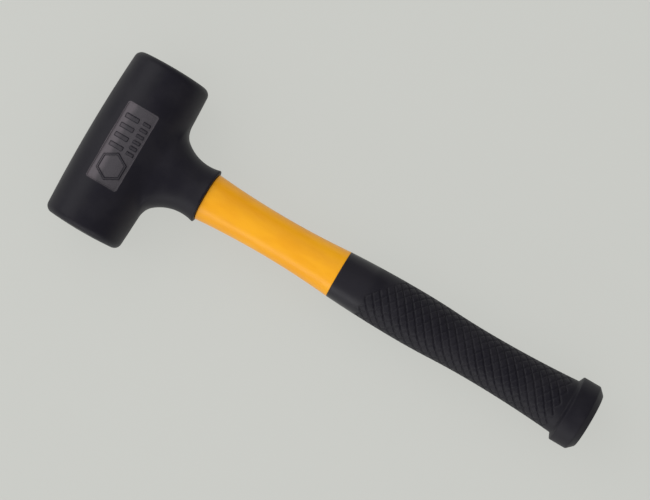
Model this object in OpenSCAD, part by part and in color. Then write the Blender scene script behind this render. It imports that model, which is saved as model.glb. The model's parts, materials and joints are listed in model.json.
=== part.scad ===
// Dead-blow mallet: a steel canister of loose shot, covered by one rubber moulding
// that makes the head and its neck, on a fibreglass-cored handle with a yellow jacket
// and a rubber grip. Millimetres, real size.
// The mallet lies on its side. +X runs along the handle from the head to the butt, Y is
// the striking axis and +Z is up. The origin is under the middle of the whole mallet,
// level with the lowest line of the head.

/* [Head] */
// Length of the head over its two crowned faces
head_len = 110; // [107:1:114]
// Diameter of the head at its middle, where the barrel is fullest
head_d = 52; // [51.6:0.2:55]
// Diameter of the striking faces
face_d = 48.8; // [48:0.2:50]
// Rounding of the rim of each striking face
rim_r = 3.8; // [3:0.1:4.2]
// Height of the crown of each striking face
crown_h = 1.3; // [1:0.1:2]

/* [Neck] */
// Distance from the head's axis to the end of the neck
neck_end = 54; // [52:0.2:56]
// Radius of the neck at its throat
throat_r = 16; // [16:0.1:17]
// Distance from the head's axis to the throat
throat_x = 46.2; // [45:0.2:48]
// Radius of the hollow flare between the throat and the head
flare_r = 26.2; // [25:0.1:28]
// Radius of the shallower curve over the top and bottom of the neck
saddle_r = 150; // [120:10:200]

/* [Label recess] */
// Length of the recess along the head
label_len = 49.6; // [47.6:0.4:52]
// Width of the recess across the head
label_w = 19.8; // [19:0.2:21]
// Place of the middle of the recess across the head, less than 0 on the side away from the handle
label_x = -0.6; // [-3:0.1:0]
// Radius of the curved floor of the recess, about the axis of the head
label_floor = 24.9; // [24.4:0.1:25.1]
// Height of the raised marks above the floor
mark_h = 0.5; // [0.3:0.1:0.8]

/* [Canister] */
// Outer diameter of the canister tube
canister_d = 40; // [38:0.5:41]
// Wall of the canister tube
canister_wall = 1.5; // [1.2:0.1:1.5]
// Length of the canister over its end plugs
canister_len = 84; // [80:1:86]
// Thickness of the flange of each end plug
plug_flange = 2; // [1.5:0.5:3]
// Depth of each end plug's register inside the tube
plug_register = 3; // [2:0.5:4]

/* [Shot] */
// Diameter of one ball of shot
ball_d = 7; // [6.8:0.05:7]
// Space left between neighbouring balls
ball_gap = 0.05; // [0.05:0.01:0.06]
// Number of layers of balls along the striking axis
ball_layers = 9; // [5:2:9]

/* [Socket] */
// Outer diameter of the steel socket tube
socket_d = 24; // [23.5:0.1:24.5]
// Inner diameter of the steel socket tube
socket_bore = 20; // [19.8:0.1:20.4]
// Distance from the head's axis to the socket's mouth
socket_end = 50; // [48:0.5:51]
// Diameter of the two cross pins
pin_d = 4; // [3:0.5:5]

/* [Handle] */
// Diameter of the fibreglass core
core_d = 19; // [18:0.1:19.4]
// Radius of the yellow jacket where it meets the neck
jacket_head_r = 14.8; // [14.6:0.1:15.4]
// Radius of the yellow jacket at its waist
jacket_waist_r = 12.85; // [12.7:0.05:13.5]
// Radius of the yellow jacket where it meets the grip
jacket_grip_r = 14.8; // [14.6:0.1:15.4]
// Distance from the head's axis to the waist
waist_x = 99.2; // [92:0.2:108]
// Distance from the head's axis to the start of the grip
grip_start = 143.6; // [136:0.2:146]

/* [Grip] */
// Radius at the palm swell
swell_r = 16.2; // [16:0.1:17.5]
// Radius at the finger hollow behind the palm swell
hollow_r = 14.9; // [14.8:0.05:15.8]
// Radius just before the butt
grip_end_r = 17.2; // [16.5:0.1:18]
// Radius of the butt
butt_r = 20.7; // [19:0.1:23]
// Distance from the head's axis to the flat end of the butt
handle_end = 312; // [306:0.5:320]
// Size of the bevel round the end of the butt
butt_bevel = 3.9; // [3:0.1:5]

/* [Hidden] */
$fn = 96;

fit_gap = 0.05;        // play left between pieces that are pressed or moulded together
eps = 0.01;
past = 1;              // how far a cutting shape runs past what it cuts

// Head outline: a barrel arc, a rim arc and a crown arc
face_level = head_len / 2 - crown_h;
barrel_sag = (head_d - face_d) / 2;
barrel_arc = (face_level * face_level + barrel_sag * barrel_sag) / (2 * barrel_sag);
crown_arc = (face_d * face_d / 4 + crown_h * crown_h) / (2 * crown_h);
rim_y = crown_y(face_d / 2 - rim_r) - rim_r;
rim_x = barrel_at(rim_y) - rim_r;
rim_from = asin(rim_y / barrel_arc);
rim_to = 90 - asin(rim_x / crown_arc);

// Placing of the hammer frame, whose origin is where the head and handle axes cross
axis_z = barrel_at(label_len / 2);
head_x = (head_d / 2 - handle_end) / 2;

// Raised marks in the label recess: a hexagon outline, then two rows of bars
hex_x = 0.4;
hex_y = -13.3;
hex_r = 8.8;
hex_line = 1.1;
row_start = -3;
tall_x = -7.6;
tall_bar = [8.8, 2.6];
tall_step = 6.2;
tall_count = 4;
short_x = 3.8;
short_bar = [4.6, 1.8];
short_step = 3.9;
short_count = 6;

// Canister
canister_r = canister_d / 2;
bore_r = canister_r - canister_wall;
tube_len = canister_len - 2 * plug_flange;
weld_leg = 1;

// Shot: hexagonal layers, every second one shifted into the hollows of the first
pitch = ball_d + ball_gap;
layer_step = pitch * sqrt(2 / 3);
layer_shift = pitch / sqrt(3);
shot_clear = 0.3;
lattice_r = bore_r - shot_clear - ball_d / 2;

// Neck
neck_root = 17;
flare_start = 25;
saddle_lift = 0.4;
mouth_start = 46;
mouth_r = 13.1;

// Socket and its weld
bead_size = 1.6;
collar_r = socket_d / 2 + bead_size;
collar_reach = canister_r + bead_size;
core_start = 22;
pin_len = socket_d - 1;
pin_wall = 0.8;
pin_slit = 0.6;
pin_inner_x = 29;
pin_outer_x = 41;

// Handle
neck_gap = 0.3;
jacket_start = neck_end + neck_gap;
jacket_end = 301;
jacket_floor = 3;
seat_r = 12.2;
bead_depth = 0.9;
bead_w = 3;
bead_places = [165, 215, 265];
swell_x = 190;
hollow_x = 238.4;
grip_end = 295.7;
butt_start = 297.3;

function barrel_at(y) = head_d / 2 - barrel_arc + sqrt(barrel_arc * barrel_arc - y * y);
function crown_y(r) = head_len / 2 - crown_arc + sqrt(crown_arc * crown_arc - r * r);
function flare_at(x) = throat_r + flare_r - sqrt(flare_r * flare_r - pow(x - throat_x, 2));
function saddle_at(x) = throat_r + saddle_lift + pow(throat_x - x, 2) / (2 * saddle_r);
function reversed(points) = [for (i = [len(points) - 1:-1:0]) points[i]];
function arc(centre, r, from, to, steps) = [
    for (i = [0:steps])
        let (a = from + (to - from) * i / steps)
        centre + r * [cos(a), sin(a)]
];

// Radius of the yellow jacket: two parabolas that meet at the waist
function jacket_at(x) =
    let (
        end_x = x < waist_x ? jacket_start : grip_start,
        end_r = x < waist_x ? jacket_head_r : jacket_grip_r
    )
    jacket_waist_r + (end_r - jacket_waist_r) * pow((x - waist_x) / (end_x - waist_x), 2);

// Radius of the grip: rise to the palm swell, an S-curve to the hollow, rise to the butt
function grip_at(x) =
    let (half = (hollow_x - swell_x) / 2, drop = (swell_r - hollow_r) / 2)
    x < swell_x ? swell_r - (swell_r - jacket_grip_r) * pow((swell_x - x) / (swell_x - grip_start), 2)
    : x < swell_x + half ? swell_r - drop * pow((x - swell_x) / half, 2)
    : x < hollow_x ? hollow_r + drop * pow((hollow_x - x) / half, 2)
    : hollow_r + (grip_end_r - hollow_r) * pow((x - hollow_x) / (grip_end - hollow_x), 2);

module along_x() { rotate([0, 90, 0]) children(); }
module along_y() { rotate([-90, 0, 0]) children(); }

// A round bar along X between two stations
module bar_x(r, from, to) {
    translate([from, 0, 0]) along_x() cylinder(r = r, h = to - from);
}

// A round bar across the head between two levels
module bar_y(r, from, to) {
    translate([0, from, 0]) along_y() cylinder(r = r, h = to - from);
}

// Puts a piece drawn in the hammer frame in its place on the ground
module placed() {
    translate([head_x, 0, axis_z]) children();
}

// The barrel of the head, turned about the striking axis
module head_barrel() {
    half = concat(
        [for (i = [0:3]) [barrel_at(rim_y * i / 4), rim_y * i / 4]],
        arc([rim_x, rim_y], rim_r, rim_from, rim_to, 5),
        [for (i = [2:-1:0]) [rim_x * i / 3, crown_y(rim_x * i / 3)]]
    );
    mirrored = [for (p = reversed(half)) if (p[1] > 0) [p[0], -p[1]]];
    along_y() rotate_extrude() polygon(concat(mirrored, half));
}

// The neck: a trumpet about the handle axis, flattened over its top and bottom
module neck() {
    flare = [for (i = [0:10]) let (x = flare_start + (neck_end - flare_start) * i / 10) [flare_at(x), x]];
    saddle = [for (i = [0:4]) let (x = neck_root + (throat_x - neck_root) * i / 4) [x, saddle_at(x)]];
    clear_z = saddle_at(neck_root);
    top = concat(saddle, [[throat_x, clear_z], [neck_end + past, clear_z]]);
    intersection() {
        along_x() rotate_extrude()
            polygon(concat([[0, neck_root], [flare[0][0], neck_root]], flare, [[0, neck_end]]));
        rotate([90, 0, 0]) linear_extrude(4 * throat_r, center = true)
            polygon(concat(top, [for (p = reversed(top)) [p[0], -p[1]]]));
    }
}

// A row of plain raised bars, from the handle's side of the hexagon outwards
module bar_row(x, size, step, count) {
    for (i = [0:count - 1])
        translate([x, row_start + step * i, 0]) cube([size[0], size[1], head_d / 2]);
}

// Plan of the raised marks: a hexagon outline and two rows of bars
module label_marks() {
    translate([hex_x, hex_y, 0]) rotate([0, 0, 90]) difference() {
        cylinder(r = hex_r, h = head_d / 2, $fn = 6);
        translate([0, 0, -past]) cylinder(r = hex_r - hex_line, h = head_d / 2 + 2 * past, $fn = 6);
    }
    bar_row(tall_x, tall_bar, tall_step, tall_count);
    bar_row(short_x, short_bar, short_step, short_count);
}

// The recess in the top of the head, with the raised marks left standing on its curved floor
module label_recess() {
    difference() {
        translate([label_x - label_w / 2, -label_len / 2, 0]) cube([label_w, label_len, head_d / 2 + past]);
        bar_y(label_floor, -label_len, label_len);
        intersection() {
            translate([label_x, 0, 0]) label_marks();
            bar_y(label_floor + mark_h, -label_len, label_len);
        }
    }
}

module socket_collar() {
    intersection() {
        bar_x(collar_r, 0, collar_reach + past);
        bar_y(collar_reach, -canister_r, canister_r);
    }
}

module head_cover() {
    color([0.13, 0.13, 0.14]) placed() difference() {
        union() {
            head_barrel();
            neck();
        }
        bar_y(canister_r, -canister_len / 2, canister_len / 2);
        bar_x(socket_d / 2, canister_r / 2, socket_end);
        socket_collar();
        bar_x(mouth_r, mouth_start, neck_end + past);
        label_recess();
        rotate([180, 0, 0]) label_recess();
    }
}

module canister_tube() {
    color("silver") placed() difference() {
        bar_y(canister_r, -tube_len / 2, tube_len / 2);
        bar_y(bore_r, -tube_len, tube_len);
        canister_weld(1);
        canister_weld(-1);
    }
}

// The triangular bead in the groove between the tube and an end plug
module canister_weld(side) {
    mid = side * tube_len / 2;
    along_y() rotate_extrude() polygon([
        [canister_r - weld_leg, mid],
        [canister_r, mid - weld_leg],
        [canister_r, mid + weld_leg],
    ]);
}

module end_plug(side) {
    inner = tube_len / 2;
    outer = canister_len / 2;
    mirror([0, side < 0 ? 1 : 0, 0]) difference() {
        union() {
            bar_y(bore_r - fit_gap, inner - plug_register, inner + eps);
            bar_y(canister_r, inner, outer);
        }
        canister_weld(1);
    }
}

module canister_cap_left() { color("lightsteelblue") placed() end_plug(1); }
module canister_cap_right() { color("lightsteelblue") placed() end_plug(-1); }
module canister_weld_left() { color("dimgray") placed() canister_weld(1); }
module canister_weld_right() { color("dimgray") placed() canister_weld(-1); }

module steel_shot() {
    reach = ceil(lattice_r / pitch);
    color("gainsboro") placed()
        for (layer = [0:ball_layers - 1])
            translate([0, (layer - (ball_layers - 1) / 2) * layer_step, 0])
                for (row = [-reach:reach], place = [-2 * reach:2 * reach]) {
                    shift = layer % 2 == 0 ? 0 : layer_shift;
                    x = (place + row / 2) * pitch;
                    z = row * pitch * sqrt(3) / 2 + shift;
                    if (norm([x, z]) < lattice_r)
                        translate([x, 0, z]) sphere(d = ball_d, $fn = 24);
                }
}

module socket_tube() {
    color("silver") placed() difference() {
        bar_x(socket_d / 2, canister_r / 2, socket_end);
        bar_x(socket_bore / 2, 0, socket_end + past);
        bar_y(canister_r, -canister_r, canister_r);
        pin_hole(pin_inner_x);
        pin_hole(pin_outer_x);
    }
}

// The square saddle bead that joins the socket to the canister
module socket_weld() {
    color("dimgray") placed() difference() {
        socket_collar();
        bar_x(socket_d / 2, 0, socket_end);
        bar_y(canister_r, -2 * canister_r, 2 * canister_r);
    }
}

module pin_hole(x) {
    translate([x, 0, -socket_d]) cylinder(d = pin_d, h = 2 * socket_d);
}

// A slotted spring pin through the socket and the core
module spring_pin(x) {
    color("slategray") placed() translate([x, 0, -pin_len / 2]) difference() {
        cylinder(d = pin_d, h = pin_len);
        translate([0, 0, -past]) cylinder(d = pin_d - 2 * pin_wall, h = pin_len + 2 * past);
        translate([0, -pin_slit / 2, -past]) cube([pin_d, pin_slit, pin_len + 2 * past]);
    }
}

module socket_pin_inner() { spring_pin(pin_inner_x); }
module socket_pin_outer() { spring_pin(pin_outer_x); }

// The adhesive that fills the space between the core and the socket
module core_bond() {
    color("khaki") placed() difference() {
        bar_x(socket_bore / 2, core_start, socket_end);
        bar_x(core_d / 2, core_start - past, socket_end + past);
        pin_hole(pin_inner_x);
        pin_hole(pin_outer_x);
    }
}

module handle_core() {
    color("palegoldenrod") placed() difference() {
        bar_x(core_d / 2, core_start, jacket_end - jacket_floor);
        pin_hole(pin_inner_x);
        pin_hole(pin_outer_x);
    }
}

// A ring groove or bead that locks the grip to the jacket
module lock_ring(x, r) {
    along_x() rotate_extrude() translate([0, x - bead_w / 2]) polygon([
        [r - bead_depth, bead_depth / 2],
        [r + eps, 0],
        [r + eps, bead_w],
        [r - bead_depth, bead_w - bead_depth / 2],
    ]);
}

module handle_jacket() {
    steps = 16;
    shown = [
        for (i = [0:steps])
            let (x = jacket_start + (grip_start - jacket_start) * i / steps)
            [jacket_at(x), x]
    ];
    spigot_r = mouth_r - fit_gap;
    outline = concat(
        [[0, mouth_start + fit_gap], [spigot_r, mouth_start + fit_gap], [spigot_r, jacket_start]],
        shown,
        [[seat_r, grip_start], [seat_r, jacket_end], [0, jacket_end]]
    );
    color([0.95, 0.67, 0.13]) placed() difference() {
        along_x() rotate_extrude() polygon(outline);
        bar_x(core_d / 2, 0, jacket_end - jacket_floor);
        bar_x(socket_d / 2 + fit_gap, 0, socket_end + fit_gap);
        for (x = bead_places)
            lock_ring(x, seat_r);
    }
}

module grip() {
    stations = 14;
    body = [
        for (i = [0:stations])
            let (x = grip_start + fit_gap + (grip_end - grip_start - fit_gap) * i / stations)
            [grip_at(x), x]
    ];
    outline = concat(
        [[0, grip_start + fit_gap]],
        body,
        [[butt_r, butt_start], [butt_r, handle_end - butt_bevel], [butt_r - butt_bevel, handle_end]],
        [[0, handle_end]]
    );
    color([0.16, 0.16, 0.17]) placed() {
        difference() {
            along_x() rotate_extrude() polygon(outline);
            bar_x(seat_r + fit_gap, 0, jacket_end + fit_gap);
        }
        for (x = bead_places)
            difference() {
                lock_ring(x, seat_r + 2 * fit_gap);
                bar_x(seat_r - bead_depth + 3 * fit_gap, 0, handle_end);
            }
    }
}

head_cover();
canister_tube();
canister_cap_left();
canister_cap_right();
canister_weld_left();
canister_weld_right();
steel_shot();
socket_tube();
socket_weld();
socket_pin_inner();
socket_pin_outer();
core_bond();
handle_core();
handle_jacket();
grip();
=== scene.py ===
"""Looks of a dead-blow mallet.

A rubber head and neck in one moulding, a waisted yellow jacket, a grooved rubber grip and the loose shot.
"""
import json
import math

import bpy
import numpy as np
from mathutils import Matrix, Vector


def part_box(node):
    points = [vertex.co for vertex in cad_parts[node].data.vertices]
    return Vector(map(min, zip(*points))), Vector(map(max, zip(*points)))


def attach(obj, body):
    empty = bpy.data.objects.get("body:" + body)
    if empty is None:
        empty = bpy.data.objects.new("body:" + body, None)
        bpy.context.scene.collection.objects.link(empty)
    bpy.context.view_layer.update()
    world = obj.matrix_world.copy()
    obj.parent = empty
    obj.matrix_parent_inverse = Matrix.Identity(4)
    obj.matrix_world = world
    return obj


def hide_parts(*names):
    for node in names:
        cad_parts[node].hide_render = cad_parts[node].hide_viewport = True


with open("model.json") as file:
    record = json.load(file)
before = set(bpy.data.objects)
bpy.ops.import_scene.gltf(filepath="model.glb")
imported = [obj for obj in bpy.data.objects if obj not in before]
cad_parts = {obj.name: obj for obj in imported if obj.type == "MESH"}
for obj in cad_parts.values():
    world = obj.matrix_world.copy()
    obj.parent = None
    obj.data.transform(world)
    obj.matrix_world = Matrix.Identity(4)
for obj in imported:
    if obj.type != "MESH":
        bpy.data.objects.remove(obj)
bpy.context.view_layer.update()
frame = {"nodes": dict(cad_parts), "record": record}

MM = 0.001

# ---------------------------------------------------------------- places that the frame gives
# Pieces are drawn in the hammer frame, whose origin is where the head and handle axes cross.
MOUNTS = {m["name"]: m["pos_m"] for m in frame["record"]["mounts"]}
FACE = MOUNTS["strike_face_left"]
CROSSING = Vector((FACE[0], 0, FACE[2]))


def span(node, axis):
    """Lowest and highest place of a CAD node along one axis of the hammer frame."""
    low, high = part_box(node)
    return low[axis] - CROSSING[axis], high[axis] - CROSSING[axis]


FACE_Y = FACE[1]
HEAD_R = -span("head_cover", 0)[0]
NECK_END = span("head_cover", 0)[1]
SOCKET_R = span("socket_tube", 1)[1]
SOCKET_END = span("socket_tube", 0)[1]
CANISTER_R = span("canister_tube", 2)[1]
CANISTER_Y = span("canister_cap_left", 1)[1]
COLLAR_X, COLLAR_R = span("socket_weld", 0)[1], span("socket_weld", 1)[1]
CORE_R = span("handle_core", 1)[1]
CORE_END = span("handle_core", 0)[1]
JACKET_TIP, JACKET_END = span("handle_jacket", 0)
GRIP_START, HANDLE_END = span("grip", 0)
BUTT_R = span("grip", 1)[1]

# ---------------------------------------------------------------- sizes of the outline
FACE_R = 24.4 * MM
RIM_R = 3.8 * MM
CROWN_H = 1.3 * MM
THROAT_R = 16 * MM
THROAT_X = 46.2 * MM
FLARE_R = 26.2 * MM
FLARE_START = 25 * MM
SADDLE_R = 150 * MM        # arc of the neck's top and bottom, seen from the side
NECK_ROOT = 12 * MM        # where the neck begins, inside the barrel
NECK_SQUARING = 20 * MM    # length over which the neck's section grows from round to fuller
CREASE = 3.4 * MM          # softness of the hollow between the barrel and the neck
LIP_R = 0.7 * MM
MOUTH_X = 46 * MM
MOUTH_R = 13.1 * MM

LABEL_X = -0.6 * MM
LABEL_W = 19.8 * MM
LABEL_LEN = 49.6 * MM
LABEL_FLOOR = 24.9 * MM    # radius of the curved floor, about the head's axis
LABEL_CORNER = 1.1 * MM
WALL_FOOT = 0.3 * MM       # how far the wall's foot stands inside the recess's outline
WALL_SLOPE = 0.4           # outward lean of the wall for each step up
WALL_COSINE = 0.93         # turns a distance in plan into one square to the leaning wall
MARK_H = 0.5 * MM
MARK_CORNER = 0.4 * MM
MARK_SLOPE = 0.25
# Softness of the edges round the mark tops, round the marks' feet, round the recess and round the mouth
MARK_EDGE, MARK_FOOT = 0.2 * MM, 0.15 * MM
LABEL_EDGE = 0.22 * MM
MOUTH_EDGE = 0.5 * MM
# Tone of the recess, from the head's own black at 0 to the palest at 1
FLOOR_TONE, MARK_TOP_TONE, PLAIN_TONE = 1.0, 0.6, 0.0

NECK_GAP = 0.3 * MM
FIT_GAP = 0.05 * MM
JACKET_HEAD_R = 14.8 * MM
JACKET_WAIST_R = 12.85 * MM
JACKET_GRIP_R = 14.8 * MM
WAIST_X = 99.2 * MM
JACKET_COLUMNS = 144
JACKET_RINGS = 60
JACKET_CREASE = 50         # degrees past which an edge of the jacket is shaded sharp
SEAT_R = 12.2 * MM

SWELL_X, SWELL_R = 190 * MM, 16.2 * MM
HOLLOW_X, HOLLOW_R = 238.4 * MM, 14.9 * MM
GRIP_END, GRIP_END_R = 295.7 * MM, 17.2 * MM
BUTT_START = 297.3 * MM
BUTT_BEVEL = 3.9 * MM

GROOVE_STARTS = 13         # grooves side by side round the grip, each way
GROOVE_PITCH = 5.7 * MM    # step of one groove along the handle
GROOVE_STEPS = 10          # mesh columns from one groove to the next
PLAIN_SKIP = 4             # rings of the grooved stretch for each ring of the plain one
GROOVE_DEPTH = 0.85 * MM
CROSS_DEPTH = 0.55 * MM
GROOVE_FROM = 163 * MM
GROOVE_TO = 292.5 * MM

BALL_R = 3.5 * MM
SHOT_R = CANISTER_R - 5.3 * MM     # the balls' centres stay within this radius
BALL_STEP = 7.05 * MM
BALL_LAYERS = 9


# ---------------------------------------------------------------- node trees
def operator(operation):
    """An operator on wires in its plain and its reflected form, each of which adds a Math node."""
    return (
        lambda wire, other: wire.net.maths(operation, wire, other),
        lambda wire, other: wire.net.maths(operation, other, wire),
    )


class Wire:
    """One output of a node, on which plain arithmetic works."""

    def __init__(self, net, socket):
        self.net = net
        self.socket = socket

    __add__, __radd__ = operator("ADD")
    __sub__, __rsub__ = operator("SUBTRACT")
    __mul__, __rmul__ = operator("MULTIPLY")
    __truediv__, __rtruediv__ = operator("DIVIDE")
    __pow__, __rpow__ = operator("POWER")

    def __abs__(self):
        return self.net.maths("ABSOLUTE", self)

    def ease(self, low, high, start=0.0, end=1.0):
        """Smooth step from start to end as the value goes from low to high."""
        sockets = {"Value": self, "From Min": low, "From Max": high, "To Min": start, "To Max": end}
        return self.net.node("ShaderNodeMapRange", {"interpolation_type": "SMOOTHSTEP"}, sockets)


def live_socket(sockets, key):
    """A socket by its name or number, among those that the node's settings leave on."""
    live = [socket for socket in sockets if socket.enabled]
    return live[key] if isinstance(key, int) else next(socket for socket in live if socket.name == key)


class Net:
    """A node tree in the making."""

    def __init__(self, tree):
        self.tree = tree

    def node(self, kind, settings=None, sockets=None, out=0):
        """Adds a node: its settings first, then the values or wires of its sockets."""
        made = self.tree.nodes.new(kind)
        for name, value in (settings or {}).items():
            setattr(made, name, value)
        for key, value in (sockets or {}).items():
            if isinstance(value, Wire):
                self.tree.links.new(value.socket, live_socket(made.inputs, key))
            else:
                live_socket(made.inputs, key).default_value = value
        return Wire(self, live_socket(made.outputs, out)) if made.outputs else None

    def maths(self, operation, *values):
        return self.node("ShaderNodeMath", {"operation": operation}, dict(enumerate(values)))

    def split(self, vector):
        """The X, Y and Z of a vector."""
        first = self.node("ShaderNodeSeparateXYZ", {}, {"Vector": vector})
        return [Wire(self, socket) for socket in first.socket.node.outputs]


class Finish(Net):
    """A material in the making, with the helpers that its patterns share."""

    def __init__(self, name):
        self.material = bpy.data.materials.new(name)
        self.material.use_nodes = True
        super().__init__(self.material.node_tree)
        self.tree.nodes.clear()
        self.place = self.node("ShaderNodeTexCoord", out="Object")

    def stretched(self, scale):
        """Object coordinates scaled on each axis, which draws a pattern out along the others."""
        return self.node("ShaderNodeMapping", {}, {"Vector": self.place, "Scale": scale})

    def noise(self, scale, detail=3.0, rough=0.5, vector=None):
        sockets = {"Vector": vector or self.place, "Scale": scale, "Detail": detail, "Roughness": rough}
        return self.node("ShaderNodeTexNoise", {}, sockets)

    def blend(self, share, first, second):
        """A colour between two, each a triple or a wire."""
        pick = [c if isinstance(c, Wire) else (*c, 1.0) for c in (first, second)]
        sockets = {"Factor": share, "A": pick[0], "B": pick[1]}
        return self.node("ShaderNodeMix", {"data_type": "RGBA"}, sockets)

    def bump(self, height, depth):
        return self.node("ShaderNodeBump", {}, {"Height": height, "Strength": 1.0, "Distance": depth})

    def surface(self, **sockets):
        """Ends the material in one Principled shader. Underscores in names stand for spaces."""
        named = {name.replace("_", " "): value for name, value in sockets.items()}
        for name, value in named.items():
            if isinstance(value, tuple) and len(value) == 3:
                named[name] = (*value, 1.0)
        shader = self.node("ShaderNodeBsdfPrincipled", {}, named)
        self.node("ShaderNodeOutputMaterial", {}, {"Surface": shader})
        return self.material


# ---------------------------------------------------------------- finishes
GRAIN = 0.05 * MM          # height of the fine relief on rubber and plastic
# Distance from the mould line at which its ridge starts to fall away, and at which it is gone
RUBBER_LINE = 0.10 * MM, 0.26 * MM
PLASTIC_LINE = 0.08 * MM, 0.22 * MM
# Where the painted highlight on the label floor's lit side fades out, along the handle, and how far
# clouds shift that
PAINTED_LIT_FROM, PAINTED_LIT_TO = -4.5 * MM, -1 * MM
PAINTED_LIT_CLOUDS = 4 * MM
PLAIN_FADE = 3 * MM        # half the length over which the grip's plain stretch passes to the grooves


class Rubber(Finish):
    """Moulded black rubber: cloudy tone, a fine grain and a faint mould line along its sides."""

    def __init__(self, name, colour, dusty, gloss):
        super().__init__(name)
        x, _, z = self.split(self.place)
        self.along = x - CROSSING.x
        self.clouds = self.noise(55, 4, 0.6)
        self.tone = self.blend(self.clouds.ease(0.38, 0.66), colour, dusty)
        line = abs(z - CROSSING.z).ease(*RUBBER_LINE, 1, 0)
        grain = self.noise(1500, 2, 0.7) * 0.7 + self.noise(420, 3, 0.6) * 0.5
        self.relief = grain + line * 0.8
        self.roughness = self.clouds.ease(0.3, 0.7, gloss - 0.05, gloss + 0.05)


def head_rubber():
    """The head's rubber, with a paler spark-eroded floor in the label recess and a painted highlight that
    makes the floor's side away from the handle paler still.
    """
    f = Rubber("head_rubber", (0.0088, 0.0078, 0.0125), (0.0125, 0.0113, 0.0160), 0.50)
    panel = f.node("ShaderNodeAttribute", {"attribute_name": "panel"}, out="Fac")
    sparks = f.noise(1900, 3, 0.8)
    etched = f.blend(sparks.ease(0.3, 0.7), (0.047, 0.043, 0.049), (0.071, 0.064, 0.072))
    # Painted highlight: the label floor is made paler on its side away from the handle, where the lamp
    # lights it.
    painted_lit_side = (f.along + f.clouds * PAINTED_LIT_CLOUDS).ease(PAINTED_LIT_FROM, PAINTED_LIT_TO, 0.75, 0)
    return f.surface(
        # The pale colour here is the painted highlight on the floor's lit side.
        Base_Color=f.blend(panel, f.tone, f.blend(painted_lit_side, etched, (0.118, 0.102, 0.114))),
        Roughness=f.roughness + panel * 0.08,
        Specular_IOR_Level=0.25,
        Normal=f.bump(f.relief + panel * sparks * 2.0, GRAIN),
    )


def grip_rubber():
    """The grip's rubber, glossier on the plain stretch that leads to the grooves, where a painted sheen
    also makes it a little paler.
    """
    f = Rubber("grip_rubber", (0.0095, 0.0086, 0.0130), (0.0140, 0.0128, 0.0175), 0.52)
    # Mask of the plain stretch: its lower roughness is real gloss, its paler colour is a painted sheen.
    plain = f.along.ease(GROOVE_FROM - PLAIN_FADE, GROOVE_FROM + PLAIN_FADE, 1, 0)
    return f.surface(
        # The paler colour on the plain stretch is a painted sheen.
        Base_Color=f.blend(plain, f.tone, (0.0165, 0.0152, 0.0200)),
        Roughness=f.roughness - plain * 0.15,
        Specular_IOR_Level=0.24,
        Normal=f.bump(f.relief, GRAIN),
    )


def jacket_plastic():
    """Yellow moulded plastic: faint flow clouds, an orange-peel gloss and a few dull specks."""
    f = Finish("jacket_plastic")
    z = f.split(f.place)[2]
    flow = f.noise(1.0, 4, 0.55, f.stretched((28, 95, 95)))
    specks = f.noise(900, 2, 0.6)
    warm = f.blend(flow.ease(0.35, 0.68), (0.85, 0.352, 0.003), (0.91, 0.405, 0.006))
    colour = f.blend(specks.ease(0.66, 0.80, 0, 0.35), warm, (0.74, 0.29, 0.004))
    peel = f.noise(260, 2, 0.5)
    line = abs(z - CROSSING.z).ease(*PLASTIC_LINE, 1, 0)
    return f.surface(
        Base_Color=colour,
        Roughness=peel.ease(0.3, 0.7, 0.28, 0.36),
        Specular_IOR_Level=0.36,
        Normal=f.bump(peel * 0.6 + specks * 0.25 + line, GRAIN),
    )


def drawn_steel(name, along, colour, rough):
    """Bright steel with draw or turning lines: along is the scale of the lines on each axis."""
    f = Finish(name)
    lines = f.noise(1.0, 4, 0.7, f.stretched(along))
    stain = f.noise(45, 3, 0.6)
    stained = tuple(c * 0.72 for c in colour)
    return f.surface(
        Base_Color=f.blend(stain.ease(0.35, 0.75), colour, stained),
        Metallic=1.0,
        Roughness=lines.ease(0.3, 0.7, rough - 0.08, rough + 0.12),
        Normal=f.bump(lines, 0.03 * MM),
    )


def weld_metal():
    """A bead as welded: rippled, with a scale that goes from grey to straw."""
    f = Finish("weld_metal")
    scale = f.noise(320, 4, 0.7)
    ripple = f.noise(1.0, 2, 0.5, f.stretched((900, 300, 900)))
    return f.surface(
        Base_Color=f.blend(scale.ease(0.35, 0.7), (0.24, 0.23, 0.22), (0.42, 0.36, 0.29)),
        Metallic=1.0,
        Roughness=scale.ease(0.3, 0.7, 0.42, 0.66),
        Normal=f.bump(ripple + scale * 0.5, 0.12 * MM),
    )


def pin_steel():
    """Black spring steel, scuffed to bright metal in places."""
    f = Finish("pin_steel")
    scuff = f.noise(500, 3, 0.7)
    tone = f.blend(scuff.ease(0.55, 0.75), (0.10, 0.105, 0.115), (0.30, 0.31, 0.33))
    return f.surface(Base_Color=tone, Metallic=1.0, Roughness=scuff.ease(0.3, 0.7, 0.34, 0.5))


def bond_epoxy():
    """Cured adhesive with fine bubbles."""
    f = Finish("bond_epoxy")
    bubbles = f.noise(700, 2, 0.5)
    tone = f.blend(bubbles.ease(0.5, 0.8), (0.55, 0.42, 0.20), (0.72, 0.62, 0.38))
    return f.surface(Base_Color=tone, Roughness=0.3, Normal=f.bump(bubbles, GRAIN))


def core_fibreglass():
    """Pultruded glass fibre: pale strands that run along the rod."""
    f = Finish("core_fibreglass")
    strands = f.noise(1.0, 3, 0.6, f.stretched((25, 1400, 1400)))
    tone = f.blend(strands.ease(0.35, 0.7), (0.62, 0.56, 0.36), (0.82, 0.79, 0.62))
    return f.surface(
        Base_Color=tone,
        Roughness=strands.ease(0.3, 0.7, 0.38, 0.55),
        Normal=f.bump(strands, 0.04 * MM),
    )


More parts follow.
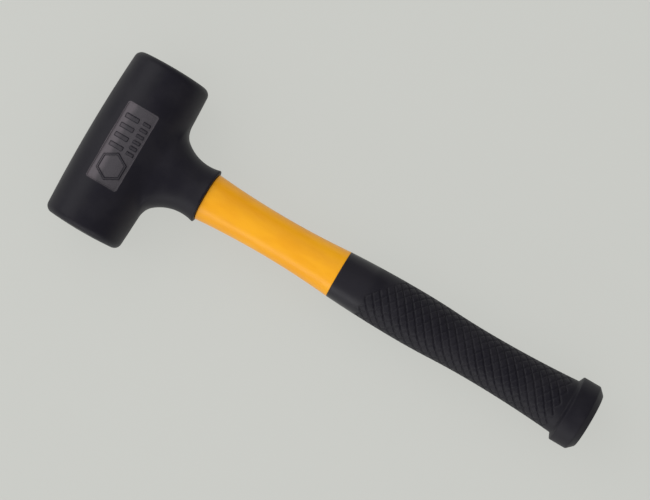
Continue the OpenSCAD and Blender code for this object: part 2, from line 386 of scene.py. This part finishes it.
FINISHES = {
    "head_rubber": head_rubber(),
    "grip_rubber": grip_rubber(),
    "jacket_plastic": jacket_plastic(),
    "canister_steel": drawn_steel("canister_steel", (700, 18, 700), (0.56, 0.57, 0.58), 0.34),
    "plug_steel": drawn_steel("plug_steel", (260, 1500, 260), (0.50, 0.52, 0.54), 0.40),
    "shot_steel": drawn_steel("shot_steel", (300, 300, 300), (0.60, 0.60, 0.60), 0.24),
    "weld_metal": weld_metal(),
    "pin_steel": pin_steel(),
    "bond_epoxy": bond_epoxy(),
    "core_fibreglass": core_fibreglass(),
}


# ---------------------------------------------------------------- mesh tools
def mesh_piece(name, points, faces, finish):
    """A new smooth-shaded object whose place is in its mesh. Points are in the hammer frame."""
    sizes = np.array([len(face) for face in faces])
    places = (np.asarray(points) + np.array(CROSSING)).astype(np.float32)
    mesh = bpy.data.meshes.new(name)
    mesh.vertices.add(len(points))
    mesh.vertices.foreach_set("co", places.ravel())
    mesh.loops.add(int(sizes.sum()))
    mesh.loops.foreach_set("vertex_index", np.concatenate(faces).astype(np.int32))
    mesh.polygons.add(len(faces))
    mesh.polygons.foreach_set("loop_start", (np.cumsum(sizes) - sizes).astype(np.int32))
    mesh.update(calc_edges=True)
    mesh.validate()
    mesh.shade_smooth()
    mesh.materials.append(FINISHES[finish])
    piece = bpy.data.objects.new(name, mesh)
    bpy.context.scene.collection.objects.link(piece)
    return piece


def seat(piece, body, slot, *nodes):
    """Hangs a finished piece under its body's empty and hides the CAD nodes it stands for. The slot is
    not used.
    """
    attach(piece, body)
    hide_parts(*nodes)


def rounded(corners, steps=6):
    """A path through (x, radius, fillet) corners, with an arc of that fillet at each."""
    path = []
    for i, (x, r, fillet) in enumerate(corners):
        here = Vector((x, r))
        if not fillet:
            path.append(tuple(here))
            continue
        back = (Vector(corners[i - 1][:2]) - here).normalized()
        on = (Vector(corners[i + 1][:2]) - here).normalized()
        half = back.angle(on) / 2
        centre = here + (back + on).normalized() * (fillet / math.sin(half))
        start = here + back * (fillet / math.tan(half)) - centre
        end = here + on * (fillet / math.tan(half)) - centre
        turn = start.angle_signed(end)
        for step in range(steps + 1):
            spoke = start.copy()
            spoke.rotate(Matrix.Rotation(-turn * step / steps, 2))
            path.append(tuple(centre + spoke))
    return path


def lathe(path, columns):
    """Points and faces of a path of (x, radius, turn) rings about the handle's axis.

    The first and last points lie on the axis. The turn shifts a ring round the axis, so that
    the mesh can run along a helix. A path that goes outwards and then along +X faces outwards.
    """
    angles = np.arange(columns) * 2 * math.pi / columns
    rings = []
    for x, r, turn in path[1:-1]:
        a = angles - turn
        rings.append(np.stack([np.full(columns, x), r * np.sin(a), r * np.cos(a)], 1))
    points = np.concatenate([[[path[0][0], 0, 0]], *rings, [[path[-1][0], 0, 0]]])
    column = np.arange(columns)
    after = (column + 1) % columns
    faces = [np.stack([np.zeros(columns, int), 1 + column, 1 + after], 1)]
    for ring in range(len(rings) - 1):
        low, high = 1 + ring * columns, 1 + (ring + 1) * columns
        faces.append(np.stack([low + column, high + column, high + after, low + after], 1))
    last = 1 + (len(rings) - 1) * columns
    tip = len(points) - 1
    faces.append(np.stack([last + column, np.full(columns, tip), last + after], 1))
    return points, [face for block in faces for face in block]


def stations(*stretches):
    """Stations along an axis: stretches of (from, to, step), each ending where the next starts."""
    lines = [np.linspace(a, b, max(2, round((b - a) / step) + 1))[:-1] for a, b, step in stretches]
    return np.concatenate([*lines, [stretches[-1][1]]])


def surface_net(field, xs, ys, zs):
    """Points and faces of the closed surface where a field is zero: one point in each cell it crosses."""
    grid = np.stack(np.meshgrid(xs, ys, zs, indexing="ij"), -1)
    value = field(grid.reshape(-1, 3)).reshape(grid.shape[:3])
    inside = value < 0
    cells = np.array(value.shape) - 1
    total = np.zeros((*cells, 3))
    count = np.zeros(cells)
    crossed = []
    for axis in range(3):
        near = tuple(slice(0, -1) if a == axis else slice(None) for a in range(3))
        far = tuple(slice(1, None) if a == axis else slice(None) for a in range(3))
        cut = inside[near] != inside[far]
        gap = np.where(cut, value[near] - value[far], 1)
        point = grid[near] + (value[near] / gap)[..., None] * (grid[far] - grid[near])
        point[~cut] = 0
        second, third = (axis + 1) % 3, (axis + 2) % 3
        for shift in ((0, 0), (0, 1), (1, 0), (1, 1)):
            part = [slice(None)] * 3
            part[second] = slice(shift[0], cells[second] + shift[0])
            part[third] = slice(shift[1], cells[third] + shift[1])
            total += point[tuple(part)]
            count += cut[tuple(part)]
        crossed.append((axis, second, third, cut, inside[near]))
    used = count > 0
    number = np.full(used.shape, -1)
    number[used] = np.arange(used.sum())
    points = total[used] / count[used][:, None]
    faces = []
    for axis, second, third, cut, starts_inside in crossed:
        edge = np.argwhere(cut)
        loop = []
        for shift in ((-1, -1), (0, -1), (0, 0), (-1, 0)):
            cell = edge.copy()
            cell[:, second] += shift[0]
            cell[:, third] += shift[1]
            loop.append(number[tuple(cell.T)])
        loop = np.stack(loop, 1)
        outward = starts_inside[tuple(edge.T)]
        faces.append(np.where(outward[:, None], loop, loop[:, ::-1]))
    return points, np.concatenate(faces)


def settle(points, field, reach, rounds=3):
    """Moves points along the field's slope onto its surface, by no more than reach in a round."""
    probe = 0.01 * MM
    for _ in range(rounds):
        slope = np.stack([field(points + probe * e) - field(points - probe * e) for e in np.eye(3)], 1)
        slope /= 2 * probe
        move = slope * (field(points) / (slope**2).sum(1))[:, None]
        length = np.linalg.norm(move, axis=1)
        points = points - move * np.minimum(1, reach / np.maximum(length, 1e-9))[:, None]
    return points


# ---------------------------------------------------------------- the head's shape as a field
def soft_max(a, b, blend):
    """The larger of two fields, eased over a blend distance where they meet."""
    near = np.maximum(blend - np.abs(a - b), 0) / blend
    return np.maximum(a, b) + near * near * blend / 4


def soft_min(a, b, blend):
    return -soft_max(-a, -b, blend)


def round_max(a, b, radius):
    """The larger of two fields, with a round edge of that radius."""
    outside = np.hypot(np.maximum(a + radius, 0), np.maximum(b + radius, 0))
    return np.minimum(np.maximum(a, b), -radius) + outside


FACE_LEVEL = FACE_Y - CROWN_H
BARREL_ARC = (FACE_LEVEL**2 + (HEAD_R - FACE_R) ** 2) / (2 * (HEAD_R - FACE_R))
CROWN_ARC = (FACE_R**2 + CROWN_H**2) / (2 * CROWN_H)


def barrel_field(p):
    """The barrel: a bulged side and crowned faces, joined by round rims."""
    level = np.abs(p[:, 1])
    r = np.hypot(p[:, 0], p[:, 2])
    side = r - (HEAD_R - BARREL_ARC + np.sqrt(BARREL_ARC**2 - level**2))
    crown = level - (FACE_Y - CROWN_ARC + np.sqrt(CROWN_ARC**2 - r**2))
    return round_max(side, crown, RIM_R)


def flare_at(x):
    """Half width of the neck's flare across the head."""
    return THROAT_R + FLARE_R - np.sqrt(FLARE_R**2 - (np.maximum(x, FLARE_START) - THROAT_X) ** 2)


def neck_field(p):
    """The neck: a trumpet across the head, much shallower over its top and bottom."""
    x = p[:, 0]
    wide = flare_at(x)
    tall = np.where(x < THROAT_X, THROAT_R + (THROAT_X - x) ** 2 / (2 * SADDLE_R), wide)
    power = 2 + 0.5 * np.clip((THROAT_X - x) / NECK_SQUARING, 0, 1)
    shape = (np.abs(p[:, 1]) / wide) ** power + (np.abs(p[:, 2]) / tall) ** power
    side = (shape ** (1 / power) - 1) * np.minimum(wide, tall)
    return np.maximum(round_max(side, x - NECK_END, LIP_R), NECK_ROOT - x)


HEX_X, HEX_Y, HEX_R, HEX_LINE = 0.4 * MM, -13.3 * MM, 8.8 * MM, 1.1 * MM
ROW_START = -3 * MM
# Rows of plain bars: across from, across to, length, step and count
BAR_ROWS = (
    (-7.6 * MM, 1.2 * MM, 2.6 * MM, 6.2 * MM, 4),
    (3.8 * MM, 8.4 * MM, 1.8 * MM, 3.9 * MM, 6),
)


def marks_plan(x, y):
    """Distance in plan to the raised marks: a hexagon outline and two rows of plain bars."""
    side, up = np.abs(x - HEX_X), np.abs(y - HEX_Y)
    hexagon = np.maximum(side, up * math.cos(math.pi / 6) + side / 2) - HEX_R * math.cos(math.pi / 6)
    plan = np.abs(hexagon + HEX_LINE / 2) - HEX_LINE / 2
    for low, high, length, step, count in BAR_ROWS:
        for i in range(count):
            dx = np.abs(x - (low + high) / 2) - (high - low) / 2
            dy = np.abs(y - (ROW_START + step * i + length / 2)) - length / 2
            plan = np.minimum(plan, round_max(dx, dy, MARK_CORNER))
    return plan


def label_parts(p):
    """Plan distance to the recess's wall, height over its floor, and plan distance to its marks."""
    side = np.where(p[:, 2] < 0, -1.0, 1.0)
    x, y = p[:, 0] - LABEL_X, p[:, 1] * side
    height = np.hypot(p[:, 0], p[:, 2]) - LABEL_FLOOR
    lean = height * WALL_SLOPE - WALL_FOOT
    across = (np.abs(x) - LABEL_W / 2 - lean) * WALL_COSINE
    along = (np.abs(y) - LABEL_LEN / 2 - lean) * WALL_COSINE
    return round_max(across, along, LABEL_CORNER), height, marks_plan(x, y)


def label_field(p):
    """The room of the label recess, less the marks that stand in it."""
    wall, height, marks = label_parts(p)
    raised = soft_max(marks + MARK_SLOPE * height, height - MARK_H, MARK_EDGE)
    return soft_max(np.maximum(wall, -height), -raised, MARK_FOOT)


def head_field(p):
    """The barrel and the neck, less the label recesses and the mouth for the handle."""
    body = soft_min(barrel_field(p), neck_field(p), CREASE)
    mouth = np.maximum(np.hypot(p[:, 1], p[:, 2]) - MOUTH_R, MOUTH_X - p[:, 0])
    return soft_max(soft_max(body, -label_field(p), LABEL_EDGE), -mouth, MOUTH_EDGE)


def room_field(p):
    """The room inside the head that the canister, its weld and the socket fill."""
    canister = np.maximum(np.hypot(p[:, 0], p[:, 2]) - CANISTER_R, np.abs(p[:, 1]) - CANISTER_Y)
    around = np.hypot(p[:, 1], p[:, 2])
    socket = np.maximum(around - SOCKET_R, p[:, 0] - MOUTH_X + MM)
    collar = np.maximum(around - COLLAR_R, p[:, 0] - COLLAR_X)
    return np.minimum(canister, np.maximum(np.minimum(socket, collar), -p[:, 0]))


# ---------------------------------------------------------------- pieces
def make_head():
    """The head and neck in one rubber moulding, over a room for the canister and the socket."""
    plain, fine, coarse, reach = 1.0 * MM, 0.36 * MM, 2.5 * MM, 0.3 * MM
    label_from, label_to = LABEL_X - LABEL_W / 2 - MM, LABEL_X + LABEL_W / 2 + MM
    label_y = LABEL_LEN / 2 + MM
    label_low = math.sqrt(LABEL_FLOOR**2 - label_from**2) - 0.6 * MM
    label_high = HEAD_R + 0.4 * MM
    edge_y = FACE_Y + MM
    skin_grid = (
        stations(
            (-HEAD_R - MM, label_from, plain),
            (label_from, label_to, fine),
            (label_to, NECK_END + MM, plain),
        ),
        stations((-edge_y, -label_y, plain), (-label_y, label_y, fine), (label_y, edge_y, plain)),
        stations(
            (-label_high, -label_low, fine),
            (-label_low, label_low, plain),
            (label_low, label_high, fine),
        ),
    )
    room_ends = (-CANISTER_R, MOUTH_X), (-CANISTER_Y, CANISTER_Y), (-CANISTER_R, CANISTER_R)
    room_grid = [stations((low - coarse, high + coarse, coarse)) for low, high in room_ends]
    points, faces = surface_net(head_field, *skin_grid)
    points = settle(points, head_field, reach)
    inner, inner_faces = surface_net(room_field, *room_grid)
    inner = settle(inner, room_field, reach)
    all_points = np.concatenate([points, inner])
    all_faces = np.concatenate([faces, inner_faces[:, ::-1] + len(points)])
    piece = mesh_piece("head_skin", all_points, all_faces, "head_rubber")
    wall, height, marks = label_parts(all_points)
    margin, mark_margin = 0.25 * MM, 0.22 * MM
    beyond = (wall >= margin) | (height <= -0.2 * MM)
    on_floor, on_top = marks > mark_margin, marks < -0.2 * MM
    tone = np.select([beyond, on_floor, on_top], [PLAIN_TONE, FLOOR_TONE, MARK_TOP_TONE], PLAIN_TONE)
    panel = piece.data.attributes.new("panel", "FLOAT", "POINT")
    panel.data.foreach_set("value", tone.astype(np.float32))
    seat(piece, "mallet", "head_rubber", "head_cover")


JACKET_START = NECK_END + NECK_GAP


def jacket_at(x):
    """Radius of the jacket: two parabolas that meet at the waist."""
    end_x, end_r = (JACKET_START, JACKET_HEAD_R) if x < WAIST_X else (GRIP_START, JACKET_GRIP_R)
    return JACKET_WAIST_R + (end_r - JACKET_WAIST_R) * ((x - WAIST_X) / (end_x - WAIST_X)) ** 2


def make_jacket():
    """The yellow jacket, from the spigot in the neck to its closed end inside the grip."""
    edge, end_room = 0.35 * MM, 1.5 * MM
    spigot = MOUTH_R - FIT_GAP
    grip_face = GRIP_START - FIT_GAP
    places = np.linspace(JACKET_START + end_room, grip_face - end_room, JACKET_RINGS)
    shown = [(x, jacket_at(x)) for x in places]
    path = rounded([
        (CORE_END, 0, 0),
        (CORE_END, CORE_R, 0),
        (SOCKET_END + FIT_GAP, CORE_R, 0),
        (SOCKET_END + FIT_GAP, SOCKET_R + FIT_GAP, 0),
        (JACKET_TIP, SOCKET_R + FIT_GAP, 0),
        (JACKET_TIP, spigot, edge),
        (JACKET_START, spigot, 0),
        (JACKET_START, JACKET_HEAD_R, edge),
        (*shown[0], 0),
    ])
    path += shown[1:]
    path += rounded([
        (*shown[-1], 0),
        (grip_face, JACKET_GRIP_R, 0.15 * MM),
        (grip_face, SEAT_R, 0),
        (JACKET_END, SEAT_R, edge),
        (JACKET_END, 0, 0),
    ])[1:]
    points, faces = lathe([(x, r, 0) for x, r in path], JACKET_COLUMNS)
    piece = mesh_piece("yellow_jacket", points, faces, "jacket_plastic")
    piece.data.set_sharp_from_angle(angle=math.radians(JACKET_CREASE))
    seat(piece, "mallet", "jacket_plastic", "handle_jacket")


def grip_at(x):
    """Radius of the grip: rise to the palm swell, an S-curve to the hollow, rise to the butt."""
    half, drop = (HOLLOW_X - SWELL_X) / 2, (SWELL_R - HOLLOW_R) / 2
    if x < SWELL_X:
        return SWELL_R - (SWELL_R - JACKET_GRIP_R) * ((SWELL_X - x) / (SWELL_X - GRIP_START)) ** 2
    if x < SWELL_X + half:
        return SWELL_R - drop * ((x - SWELL_X) / half) ** 2
    if x < HOLLOW_X:
        return HOLLOW_R + drop * ((HOLLOW_X - x) / half) ** 2
    return HOLLOW_R + (GRIP_END_R - HOLLOW_R) * ((x - HOLLOW_X) / (GRIP_END - HOLLOW_X)) ** 2


def grow(name, piece, sizes, build):
    """Runs a Geometry Nodes tree with named sizes on a piece, whose mesh becomes the plain result."""
    tree = bpy.data.node_groups.new(name, "GeometryNodeTree")
    tree.interface.new_socket("Geometry", in_out="INPUT", socket_type="NodeSocketGeometry")
    tree.interface.new_socket("Geometry", in_out="OUTPUT", socket_type="NodeSocketGeometry")
    keys = {}
    for label in sizes:
        socket = tree.interface.new_socket(label, in_out="INPUT", socket_type="NodeSocketFloat")
        keys[label] = socket.identifier
    net = Net(tree)
    given = tree.nodes.new("NodeGroupInput")
    wires = {label: Wire(net, given.outputs[label]) for label in sizes}
    shape = build(net, Wire(net, given.outputs["Geometry"]), wires)
    real = net.node("GeometryNodeRealizeInstances", {}, {"Geometry": shape})
    paint = {"Geometry": real, "Material": piece.data.materials[0]}
    painted = net.node("GeometryNodeSetMaterial", {}, paint)
    end = tree.nodes.new("NodeGroupOutput")
    tree.links.new(painted.socket, end.inputs["Geometry"])
    modifier = piece.modifiers.new(name, "NODES")
    modifier.node_group = tree
    for label, size in sizes.items():
        modifier[keys[label]] = size
    graph = bpy.context.evaluated_depsgraph_get()
    mesh = bpy.data.meshes.new_from_object(piece.evaluated_get(graph))
    piece.modifiers.clear()
    piece.data = mesh
    mesh.shade_smooth()


def diamond_grooves(net, geometry, size):
    """Sinks two sets of helical grooves that cross, within a stretch that starts on a slant."""
    x, y, z = net.split(net.node("GeometryNodeInputPosition"))
    along, up = x - size["Crossing X"], z - size["Crossing Z"]
    radius = (y * y + up * up) ** 0.5
    turn = net.maths("ARCTAN2", y, up) * (GROOVE_STARTS / (2 * math.pi))
    step = (along - size["Start"]) / size["Pitch"]
    depths = []
    for groove, depth in ((turn + step, size["Depth"]), (turn - step, size["Cross Depth"])):
        to_nearest = net.maths("PINGPONG", groove, 0.5)
        depths.append(to_nearest.ease(0.0, size["Width"], 1, 0) * depth)
    beside = net.maths("MAXIMUM", y + size["Slant Y"], 0.0)
    begun = (along - size["From"] - beside * size["Slant"]).ease(0.0, size["Fade"])
    ended = (size["To"] - along).ease(0.0, size["Fade"])
    outside = net.maths("GREATER_THAN", radius, size["Above"])
    sink = net.maths("MAXIMUM", *depths) * begun * ended * outside / radius * -1
    offset = net.node("ShaderNodeCombineXYZ", {}, {"Y": y * sink, "Z": up * sink})
    return net.node("GeometryNodeSetPosition", {}, {"Geometry": geometry, "Offset": offset})


def make_grip():
    """The grip: turned on a mesh that follows the grooves, which are then sunk into it."""
    columns = GROOVE_STARTS * GROOVE_STEPS
    ring = GROOVE_PITCH / (2 * GROOVE_STEPS)
    seat_r = SEAT_R + FIT_GAP
    first_groove = math.floor((GROOVE_FROM - MM - GRIP_START) / ring)
    last_groove = math.ceil((GROOVE_TO + MM - GRIP_START) / ring)
    rings = [*range(PLAIN_SKIP, first_groove, PLAIN_SKIP), *range(first_groove, last_groove)]
    body = [(GRIP_START + i * ring, grip_at(GRIP_START + i * ring)) for i in rings]
    bore = [(JACKET_END + FIT_GAP, 0), (JACKET_END + FIT_GAP, seat_r), (GRIP_START, seat_r)]
    shell = rounded([(*bore[-1], 0), (GRIP_START, JACKET_GRIP_R, 0.3 * MM), (*body[0], 0)], 4)[1:]
    shell += body[1:]
    shell += rounded([
        (*body[-1], 0),
        (GRIP_END, GRIP_END_R, 1.0 * MM),
        (BUTT_START, BUTT_R, 0.8 * MM),
        (HANDLE_END - BUTT_BEVEL, BUTT_R, 1.6 * MM),
        (HANDLE_END, BUTT_R - BUTT_BEVEL, 1.5 * MM),
        (HANDLE_END, BUTT_R / 2, 0),
        (HANDLE_END, 0, 0),
    ])[1:]
    helix = 2 * math.pi / (GROOVE_STARTS * GROOVE_PITCH)
    path = [(x, r, 0) for x, r in bore]
    path += [(x, r, helix * (min(x, GROOVE_TO) - GRIP_START)) for x, r in shell]
    points, faces = lathe(path, columns)
    piece = mesh_piece("grooved_grip", points, faces, "grip_rubber")
    grow("DiamondGrooves", piece, {
        "Crossing X": CROSSING.x,
        "Crossing Z": CROSSING.z,
        "Start": GRIP_START,
        "Pitch": GROOVE_PITCH,
        "Width": 1.6 / GROOVE_STEPS,
        "Depth": GROOVE_DEPTH,
        "Cross Depth": CROSS_DEPTH,
        "From": GROOVE_FROM,
        "To": GROOVE_TO,
        "Fade": 1.2 * MM,
        "Slant": 0.9,
        "Slant Y": 2.4 * MM,
        "Above": SEAT_R + MM,
    }, diamond_grooves)
    seat(piece, "mallet", "grip_rubber", "grip")


def scatter_balls(net, geometry, size):
    """A ball at each point of the lattice."""
    ball_size = {"Radius": size["Ball Radius"], "Subdivisions": 2}
    ball = net.node("GeometryNodeMeshIcoSphere", {}, ball_size)
    return net.node("GeometryNodeInstanceOnPoints", {}, {"Points": geometry, "Instance": ball})


def make_shot():
    """The loose shot: hexagonal layers, every second one shifted into the hollows of its neighbours."""
    reach = math.ceil(SHOT_R / BALL_STEP)
    places = []
    for layer in range(BALL_LAYERS):
        level = (layer - (BALL_LAYERS - 1) / 2) * BALL_STEP * math.sqrt(2 / 3)
        shift = (layer % 2) * BALL_STEP / math.sqrt(3)
        for row in range(-reach, reach + 1):
            up = row * BALL_STEP * math.sqrt(3) / 2 + shift
            for place in range(-2 * reach, 2 * reach + 1):
                across = (place + row / 2) * BALL_STEP
                if math.hypot(across, up) < SHOT_R:
                    places.append((across, level, up))
    piece = mesh_piece("shot_charge_balls", places, [(0, 1, 2)], "shot_steel")
    grow("ShotCharge", piece, {"Ball Radius": BALL_R}, scatter_balls)
    seat(piece, "shot_charge", "shot_steel", "steel_shot")


def finish_cad_nodes():
    """Gives each CAD node that stays its own finish, by the record's material slot."""
    for part in frame["record"]["subparts"]:
        node = frame["nodes"][part["node"]]
        if not node.hide_render:
            node.material_slots[0].material = FINISHES[part["material_slot"]]


# ---------------------------------------------------------------- camera, floor and light
VIEW_TURN, VIEW_TIP, VIEW_YAW = 30.429, 2.272, 1.588      # degrees
VIEW_TARGET = Vector((129.5 * MM, 8.05 * MM, 0))
VIEW_DISTANCE = 1.3664
VIEW_LENS = 129.5
FLOOR_SIZE = 8.0


def make_camera():
    """Looks nearly straight down on the mallet, with the head at the upper left."""
    turn = (
        Matrix.Rotation(math.radians(VIEW_TURN), 4, "Z")
        @ Matrix.Rotation(math.radians(VIEW_TIP), 4, "X")
        @ Matrix.Rotation(math.radians(VIEW_YAW), 4, "Y")
    )
    data = bpy.data.cameras.new("camera")
    data.lens = VIEW_LENS
    camera = bpy.data.objects.new("camera", data)
    back = turn.to_3x3() @ Vector((0, 0, VIEW_DISTANCE))
    camera.matrix_world = Matrix.Translation(CROSSING + VIEW_TARGET + back) @ turn
    bpy.context.scene.collection.objects.link(camera)
    bpy.context.scene.camera = camera


def make_floor():
    """A wide pale floor that touches the head and the butt, so it tilts a little under the part."""
    rest_r = -span("head_cover", 2)[0]
    far_x = HANDLE_END - BUTT_BEVEL
    slope = math.asin(rest_r / math.hypot(far_x, BUTT_R)) - math.atan2(BUTT_R, far_x)
    under_head = CROSSING.z - rest_r / math.cos(slope)
    half = FLOOR_SIZE / 2
    corners = []
    for x, y in ((-half, -half), (half, -half), (half, half), (-half, half)):
        corners.append((CROSSING.x + x, y, under_head + x * math.tan(slope)))
    mesh = bpy.data.meshes.new("floor")
    mesh.from_pydata(corners, [], [(0, 1, 2, 3)])
    f = Finish("floor_card")
    grain = f.noise(60, 3, 0.6)
    tone = f.blend(grain, (0.078, 0.080, 0.076), (0.082, 0.084, 0.080))
    mesh.materials.append(f.surface(
        Base_Color=tone,
        Roughness=0.9,
        Specular_IOR_Level=0.0,
        Emission_Color=(0.597, 0.604, 0.571),
        Emission_Strength=0.86,
    ))
    floor = bpy.data.objects.new("floor", mesh)
    bpy.context.scene.collection.objects.link(floor)


def soft_light(name, place, size, power, glossy=True):
    """A rectangular soft light that faces the middle of the part."""
    data = bpy.data.lights.new(name, "AREA")
    data.shape = "RECTANGLE"
    data.size, data.size_y = size
    data.energy = power
    lamp = bpy.data.objects.new(name, data)
    lamp.location = place
    lamp.rotation_euler = Vector(place).to_track_quat("Z", "Y").to_euler()
    lamp.visible_glossy = glossy
    bpy.context.scene.collection.objects.link(lamp)


def make_light():
    """A broad overhead light, two low ones that put the sheen on the rubber, and a dim even room."""
    soft_light("overhead", (0.0, 0.0, 1.4), (6.0, 6.0), 84, glossy=False)
    soft_light("head_side", (-1.12, 0.1, 0.85), (1.8, 1.1), 8.5)
    soft_light("striking_side", (-0.05, -1.1, 0.32), (1.8, 0.5), 6)
    world = bpy.data.worlds.new("room")
    world.use_nodes = True
    room = world.node_tree.nodes["Background"]
    room.inputs["Color"].default_value = (0.95, 0.97, 1.0, 1.0)
    room.inputs["Strength"].default_value = 0.12
    bpy.context.scene.world = world
    bpy.context.scene.view_settings.view_transform = "Standard"


make_camera()
make_head()
make_jacket()
make_grip()
make_shot()
finish_cad_nodes()
make_floor()
make_light()
